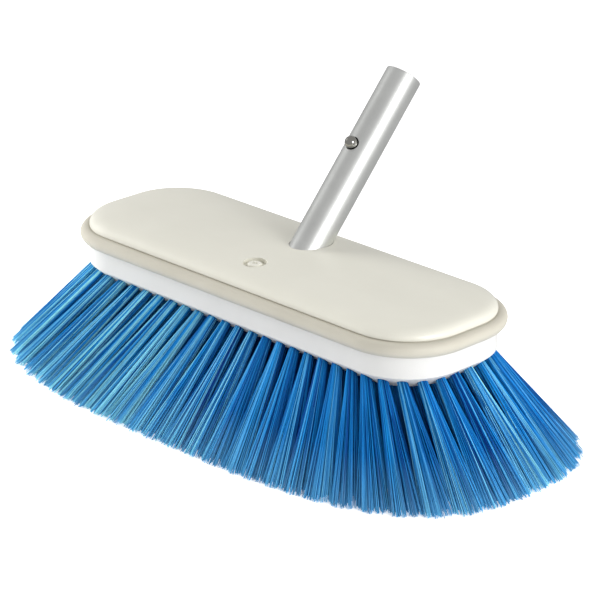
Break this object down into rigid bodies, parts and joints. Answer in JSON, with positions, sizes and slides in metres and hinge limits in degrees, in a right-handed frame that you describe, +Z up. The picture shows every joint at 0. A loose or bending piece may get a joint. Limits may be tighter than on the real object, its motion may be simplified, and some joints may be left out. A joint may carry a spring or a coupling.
{
  "type": "deck wash brush head",
  "caption": "Wash brush head with a crowned cover, soft bumper, flared bristle tufts and an inclined tube stub whose spring button clicks into a pole.",
  "frame": {"origin": "middle of the bristle tips, in the plane that the brush stands on", "axes": "+X along the block, +Y the way the tube leans, +Z up from the bristle tips to the cover"},
  "size_m": [0.3862, 0.2064, 0.1813],
  "materials": {
    "cover_plastic": "ivory, smooth moulded, satin gloss",
    "bumper_rubber": "grey beige, matt",
    "base_plastic": "white, fine moulded",
    "tube_aluminium": "drawn, satin",
    "pin_steel": "plain",
    "button_steel": "polished",
    "spring_steel": "rolled strip",
    "screw_steel": "plain",
    "bristle": "blue straight filament, trimmed level, slightly split tips",
    "anchor_wire": "flat wire"
  },
  "bodies": {
    "head": {"anchors_inner_row_1": "anchor_wire", "anchors_inner_row_2": "anchor_wire", "anchors_inner_row_3": "anchor_wire", "anchors_inner_row_4": "anchor_wire", "anchors_inner_row_5": "anchor_wire", "anchors_outer_back": "anchor_wire", "anchors_outer_front": "anchor_wire", "anchors_outer_left": "anchor_wire", "anchors_outer_right": "anchor_wire", "anchors_second_back": "anchor_wire", "anchors_second_front": "anchor_wire", "anchors_second_left": "anchor_wire", "anchors_second_right": "anchor_wire", "bumper": "bumper_rubber", "cover_screw": "screw_steel", "handle_tube": "tube_aluminium", "spring_clip": "spring_steel", "top_cover": "cover_plastic", "tube_pin": "pin_steel", "tuft_block": "base_plastic", "tufts_inner_row_1": "bristle", "tufts_inner_row_2": "bristle", "tufts_inner_row_3": "bristle", "tufts_inner_row_4": "bristle", "tufts_inner_row_5": "bristle", "tufts_outer_back": "bristle", "tufts_outer_front": "bristle", "tufts_outer_left": "bristle", "tufts_outer_right": "bristle", "tufts_second_back": "bristle", "tufts_second_front": "bristle", "tufts_second_left": "bristle", "tufts_second_right": "bristle"},
    "button": {"snap_button": "button_steel"}
  },
  "joints": [
    {"name": "button_press", "type": "slide", "parent": "head", "child": "button", "axis": [0, 0.7466, -0.6652], "range_m": [0, 0.005], "stiffness_N_per_m": 1200, "springref_m": -0.003, "deforming": ["spring_clip"]}
  ]
}
